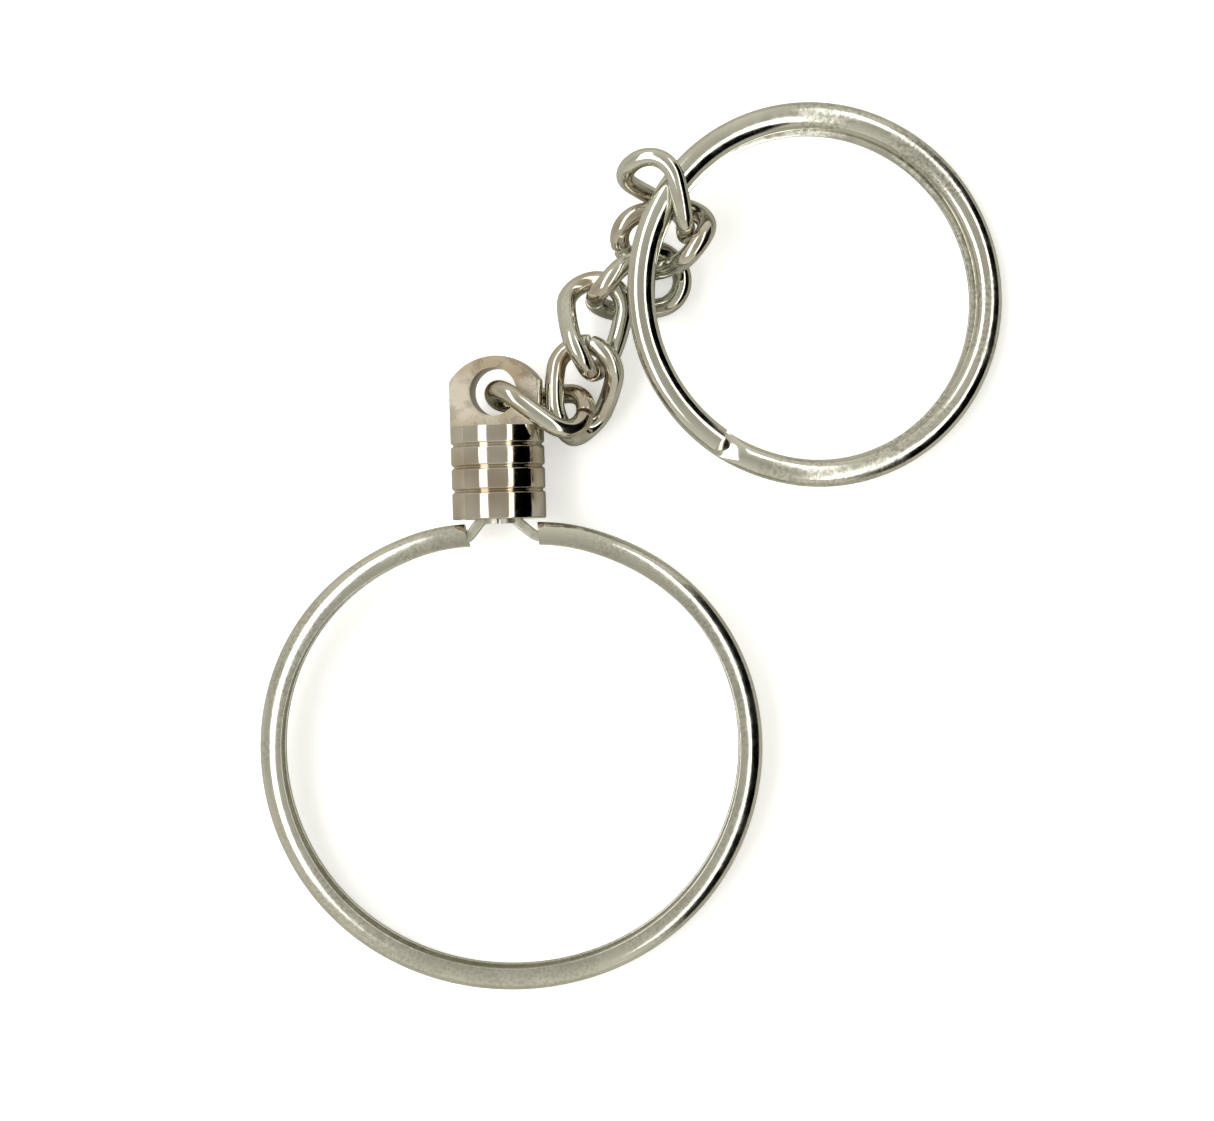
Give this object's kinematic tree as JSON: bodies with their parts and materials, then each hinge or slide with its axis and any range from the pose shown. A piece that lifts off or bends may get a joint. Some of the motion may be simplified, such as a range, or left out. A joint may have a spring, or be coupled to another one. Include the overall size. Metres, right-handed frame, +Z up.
{
  "type": "coin holder key ring",
  "caption": "Split key ring on a short curb chain, with a screw barrel that closes a channel hoop around a large coin.",
  "frame": {"origin": "middle of the key chain's footprint, on the surface it lies on", "axes": "+Z up from that surface, +Y from the hoop towards the barrel, +X to the side the chain and the split ring lie on"},
  "size_m": [0.0583, 0.0694, 0.0085],
  "materials": {
    "hoop_plate": "bright nickel plate, slightly mottled",
    "stud_plate": "bright nickel plate over cut thread",
    "barrel_plate": "bright nickel plate over turned metal",
    "chain_plate": "bright nickel plate on bent wire",
    "ring_plate": "bright nickel plate on spring wire"
  },
  "bodies": {
    "hoop": {"coin_hoop": "hoop_plate", "stud_half_left": "stud_plate", "stud_half_right": "stud_plate"},
    "barrel": {"barrel_cap": "barrel_plate"},
    "eye_link": {"eye_link": "chain_plate"},
    "link_1": {"chain_link_1": "chain_plate"},
    "link_2": {"chain_link_2": "chain_plate"},
    "link_3": {"chain_link_3": "chain_plate"},
    "link_4": {"chain_link_4": "chain_plate"},
    "ring_link": {"ring_link": "chain_plate"},
    "ring": {"split_ring": "ring_plate"}
  },
  "joints": [
    {"name": "barrel_screw", "type": "slide", "parent": "hoop", "child": "barrel", "axis": [-0.028, 0.9981, 0.0554], "range_m": [0, 0.0055]},
    {"name": "eye_swing", "type": "hinge", "parent": "barrel", "child": "eye_link", "pos_m": [-0.01077, 0.01183, 0.00419], "axis": [-0.156, -0.059, 0.986], "range_deg": [0, 70]},
    {"name": "link_1_swing", "type": "hinge", "parent": "eye_link", "child": "link_1", "pos_m": [-0.00569, 0.01182, 0.00275], "axis": [-0.9428, -0.1204, -0.3109], "range_deg": [-60, 0]},
    {"name": "link_2_swing", "type": "hinge", "parent": "link_1", "child": "link_2", "pos_m": [-0.00431, 0.0156, 0.00378], "axis": [-0.9314, -0.1903, -0.3105], "range_deg": [-90, 6]},
    {"name": "link_3_swing", "type": "hinge", "parent": "link_2", "child": "link_3", "pos_m": [-0.00308, 0.01916, 0.00327], "axis": [-0.0602, -0.2208, -0.9735], "range_deg": [-60, 0]},
    {"name": "link_4_swing", "type": "hinge", "parent": "link_3", "child": "link_4", "pos_m": [0.00122, 0.02307, 0.00303], "axis": [-0.7407, -0.2803, 0.6106], "range_deg": [0, 45]},
    {"name": "ring_link_swing", "type": "hinge", "parent": "link_4", "child": "ring_link", "pos_m": [0.00535, 0.0236, 0.0059], "axis": [0.5357, -0.6296, 0.5627], "range_deg": [-20, 0]},
    {"name": "ring_turn", "type": "hinge", "parent": "ring_link", "child": "ring", "pos_m": [0.0027, 0.027, 0.0055], "axis": [-0.4789, -0.8557, 0.1959], "range_deg": [-6, 60]}
  ]
}
